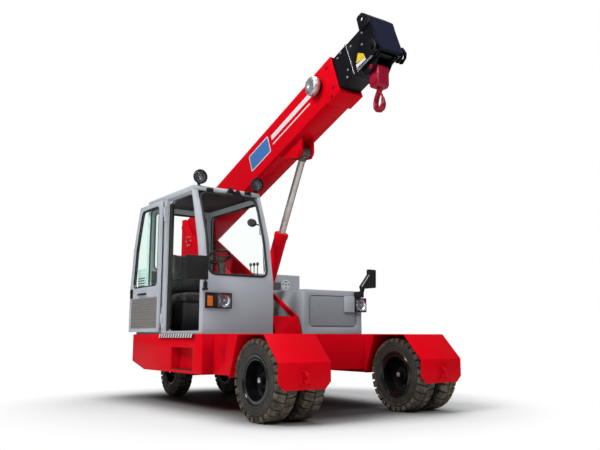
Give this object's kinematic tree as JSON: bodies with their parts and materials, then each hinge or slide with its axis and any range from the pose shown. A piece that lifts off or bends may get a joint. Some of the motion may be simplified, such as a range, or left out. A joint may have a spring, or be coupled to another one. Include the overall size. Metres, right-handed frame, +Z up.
{
  "type": "pick and carry crane",
  "caption": "Compact industrial crane on twin front wheels and small steered rear wheels, with side cab, folded-back door, telescopic boom, lift cylinder and hook.",
  "frame": {"origin": "centre of the footprint on the ground, with the centre plane of chassis and boom at Y = 35 mm", "axes": "+X towards the hook end, +Y to the left side, +Z up"},
  "size_m": [4.1296, 2.4308, 3.7798],
  "materials": {
    "red_paint": "gloss",
    "grey_paint": "satin",
    "cab_paint": "satin",
    "black_steel": "satin",
    "hook_red": "gloss",
    "tyre": "matte",
    "glass": "clear",
    "black_plastic": "satin",
    "bare_steel": "satin",
    "engine_iron": "rough"
  },
  "bodies": {
    "chassis": {"axle_arm_left": "red_paint", "axle_arm_right": "red_paint", "cab_roof": "cab_paint", "cab_shell": "cab_paint", "chassis_frame": "red_paint", "console": "black_plastic", "counterweight": "red_paint", "engine_block": "engine_iron", "front_box": "grey_paint", "glass_left": "glass", "glass_quarter": "glass", "glass_rear": "glass", "headlamp_left": "black_plastic", "headlamp_right": "black_plastic", "hood_left": "grey_paint", "hood_right": "grey_paint", "mirror_left": "black_plastic", "mirror_right": "black_plastic", "mudguard_left": "red_paint", "mudguard_right": "red_paint", "rear_axle_beam": "black_steel", "seat": "black_plastic", "seat_base": "black_plastic", "steering": "black_steel", "step_grating": "bare_steel", "tower": "red_paint", "windscreen": "glass", "work_lamp_left": "black_plastic", "work_lamp_right": "black_plastic"},
    "front_wheels_right": {"front_tyre_right_outer": "tyre", "front_tyre_right_inner": "tyre", "front_rims_right": "black_steel"},
    "front_wheels_left": {"front_tyre_left_outer": "tyre", "front_tyre_left_inner": "tyre", "front_rims_left": "black_steel"},
    "rear_steer_right": {"rear_knuckle_right": "black_steel"},
    "rear_steer_left": {"rear_knuckle_left": "black_steel"},
    "rear_wheel_right": {"rear_tyre_right": "tyre", "rear_rim_right": "black_steel"},
    "rear_wheel_left": {"rear_tyre_left": "tyre", "rear_rim_left": "black_steel"},
    "boom": {"boom_base": "red_paint", "cable_reel": "bare_steel"},
    "stage_1": {"boom_stage_1": "black_steel"},
    "stage_2": {"boom_stage_2": "black_steel", "boom_head": "black_steel"},
    "hook_block": {"hook_block": "hook_red"},
    "hook": {"hook": "hook_red"},
    "lift_barrel": {"lift_barrel": "red_paint"},
    "lift_rod": {"lift_rod": "bare_steel"},
    "cab_door": {"cab_door": "cab_paint", "door_glass": "glass"}
  },
  "joints": [
    {"name": "front_right_roll", "type": "hinge", "parent": "chassis", "child": "front_wheels_right", "pos_m": [1.414, -0.7685, 0.355], "axis": [0, 1, 0], "continuous": true},
    {"name": "rear_right_steer", "type": "hinge", "parent": "chassis", "child": "rear_steer_right", "pos_m": [-1.568, -0.22, 0.295], "axis": [0, 0, 1], "range_deg": [-50, 50]},
    {"name": "rear_right_roll", "type": "hinge", "parent": "rear_steer_right", "child": "rear_wheel_right", "pos_m": [-1.568, -0.349, 0.295], "axis": [0, 1, 0], "continuous": true},
    {"name": "front_left_roll", "type": "hinge", "parent": "chassis", "child": "front_wheels_left", "pos_m": [1.414, 0.8385, 0.355], "axis": [0, 1, 0], "continuous": true},
    {"name": "rear_left_steer", "type": "hinge", "parent": "chassis", "child": "rear_steer_left", "pos_m": [-1.568, 0.29, 0.295], "axis": [0, 0, 1], "range_deg": [-50, 50]},
    {"name": "rear_left_roll", "type": "hinge", "parent": "rear_steer_left", "child": "rear_wheel_left", "pos_m": [-1.568, 0.419, 0.295], "axis": [0, 1, 0], "continuous": true},
    {"name": "boom_lift", "type": "hinge", "parent": "chassis", "child": "boom", "pos_m": [-1.756, 0.035, 1.977], "axis": [0, -1, 0], "range_deg": [-21, 20]},
    {"name": "boom_extend_1", "type": "slide", "parent": "boom", "child": "stage_1", "axis": [0.9342, 0, 0.3567], "range_m": [0, 2.3]},
    {"name": "boom_extend_2", "type": "slide", "parent": "stage_1", "child": "stage_2", "axis": [0.9342, 0, 0.3567], "range_m": [0, 2.3]},
    {"name": "hook_block_swing", "type": "hinge", "parent": "stage_2", "child": "hook_block", "pos_m": [1.88778, 0.035, 3.22713], "axis": [0, 1, 0], "range_deg": [-40, 40]},
    {"name": "hook_swivel", "type": "hinge", "parent": "hook_block", "child": "hook", "pos_m": [1.88778, 0.035, 3.03313], "axis": [0, 0, 1], "continuous": true},
    {"name": "lift_barrel_tilt", "type": "hinge", "parent": "chassis", "child": "lift_barrel", "pos_m": [-0.516, 0.035, 0.426], "axis": [0, -1, 0], "range_deg": [-15.23, 14.53]},
    {"name": "lift_rod_stroke", "type": "slide", "parent": "lift_barrel", "child": "lift_rod", "axis": [0.4622, 0, 0.8868], "range_m": [-0.6665, 0.635]},
    {"name": "cab_door_swing", "type": "hinge", "parent": "chassis", "child": "cab_door", "pos_m": [-0.586, -1, 1.5], "axis": [0, 0, 1], "range_deg": [0, 180]}
  ],
  "couplings": [
    {"joint": "rear_left_steer", "follows": "rear_right_steer", "ratio": 1},
    {"joint": "lift_barrel_tilt", "follows": "boom_lift", "ratio": 0.7014},
    {"joint": "lift_rod_stroke", "follows": "boom_lift", "m_per_rad": 1.8048}
  ]
}
